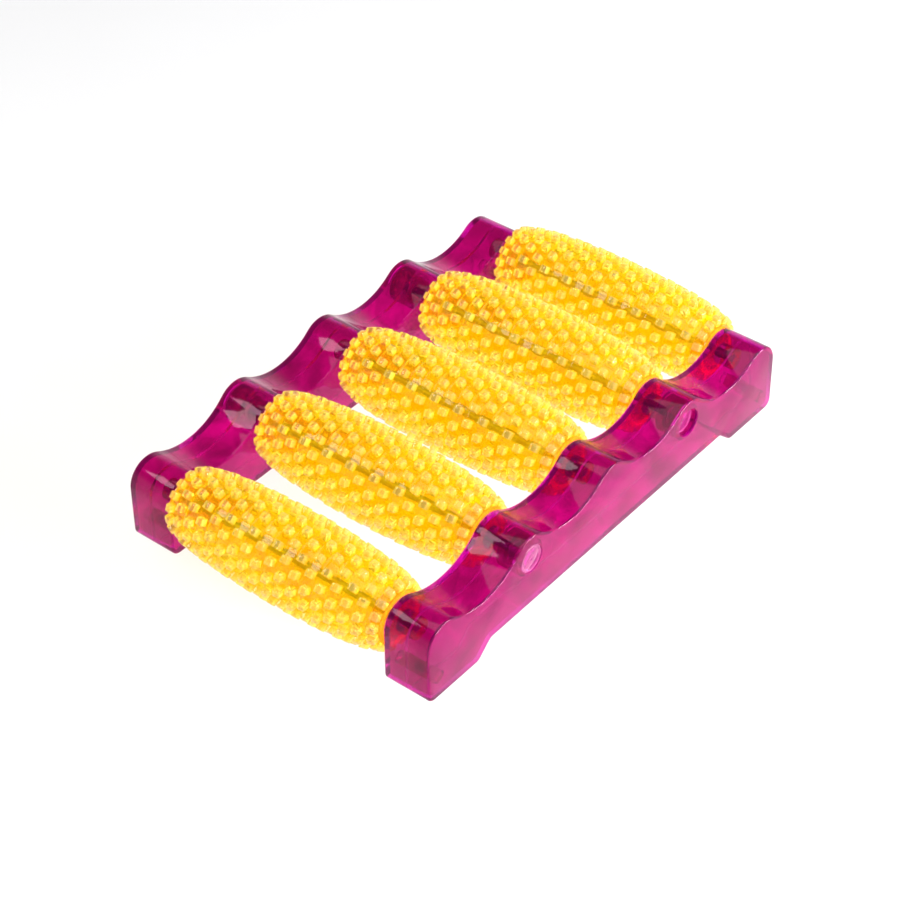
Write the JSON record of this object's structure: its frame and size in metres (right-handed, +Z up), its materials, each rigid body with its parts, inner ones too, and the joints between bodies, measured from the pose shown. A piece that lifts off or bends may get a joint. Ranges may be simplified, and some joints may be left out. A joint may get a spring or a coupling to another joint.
{
  "type": "foot massage roller",
  "caption": "Foot massage roller: nubbed barrel rollers spin on steel rods between two wavy, transparent hollow side rails; stands on its rails' feet and is rolled under the sole.",
  "frame": {"origin": "floor level, midway between the rails and midway along them", "axes": "+X along the rollers towards the rail whose outer face shows the deeper plug, +Y along the rails, +Z up"},
  "size_m": [0.161, 0.2598, 0.0535],
  "materials": {
    "rail_plastic": "polished see-through magenta plastic",
    "roller_plastic": "glossy see-through yellow plastic",
    "cap_plastic": "glossy see-through orange plastic",
    "rod_steel": "drawn steel rod",
    "fastener_steel": "zinc-plated steel",
    "plug_plastic": "see-through pink plastic"
  },
  "bodies": {
    "frame": {"right_rail_outer_half": "rail_plastic", "right_rail_inner_half": "rail_plastic", "left_rail_outer_half": "rail_plastic", "left_rail_inner_half": "rail_plastic", "front_axle": "rod_steel", "middle_axle": "rod_steel", "rear_axle": "rod_steel", "second_tie_rod": "rod_steel", "fourth_tie_rod": "rod_steel", "tie_rod_washers": "fastener_steel", "tie_rod_nuts": "fastener_steel", "right_second_hole_plug": "plug_plastic", "right_fourth_hole_plug": "plug_plastic", "left_second_hole_plug": "plug_plastic", "left_fourth_hole_plug": "plug_plastic"},
    "front_roller": {"front_roller_barrel": "roller_plastic", "front_roller_left_cap": "cap_plastic", "front_roller_right_cap": "cap_plastic"},
    "second_roller": {"second_roller_barrel": "roller_plastic", "second_roller_left_cap": "cap_plastic", "second_roller_right_cap": "cap_plastic"},
    "middle_roller": {"middle_roller_barrel": "roller_plastic", "middle_roller_left_cap": "cap_plastic", "middle_roller_right_cap": "cap_plastic"},
    "fourth_roller": {"fourth_roller_barrel": "roller_plastic", "fourth_roller_left_cap": "cap_plastic", "fourth_roller_right_cap": "cap_plastic"},
    "rear_roller": {"rear_roller_barrel": "roller_plastic", "rear_roller_left_cap": "cap_plastic", "rear_roller_right_cap": "cap_plastic"}
  },
  "joints": [
    {"name": "front_roller_spin", "type": "hinge", "parent": "frame", "child": "front_roller", "pos_m": [0, -0.109, 0.0256], "axis": [1, 0, 0], "continuous": true},
    {"name": "second_roller_spin", "type": "hinge", "parent": "frame", "child": "second_roller", "pos_m": [0, -0.0545, 0.0314], "axis": [1, 0, 0], "continuous": true},
    {"name": "middle_roller_spin", "type": "hinge", "parent": "frame", "child": "middle_roller", "pos_m": [0, 0, 0.0326], "axis": [1, 0, 0], "continuous": true},
    {"name": "fourth_roller_spin", "type": "hinge", "parent": "frame", "child": "fourth_roller", "pos_m": [0, 0.0545, 0.0314], "axis": [1, 0, 0], "continuous": true},
    {"name": "rear_roller_spin", "type": "hinge", "parent": "frame", "child": "rear_roller", "pos_m": [0, 0.109, 0.0256], "axis": [1, 0, 0], "continuous": true}
  ]
}
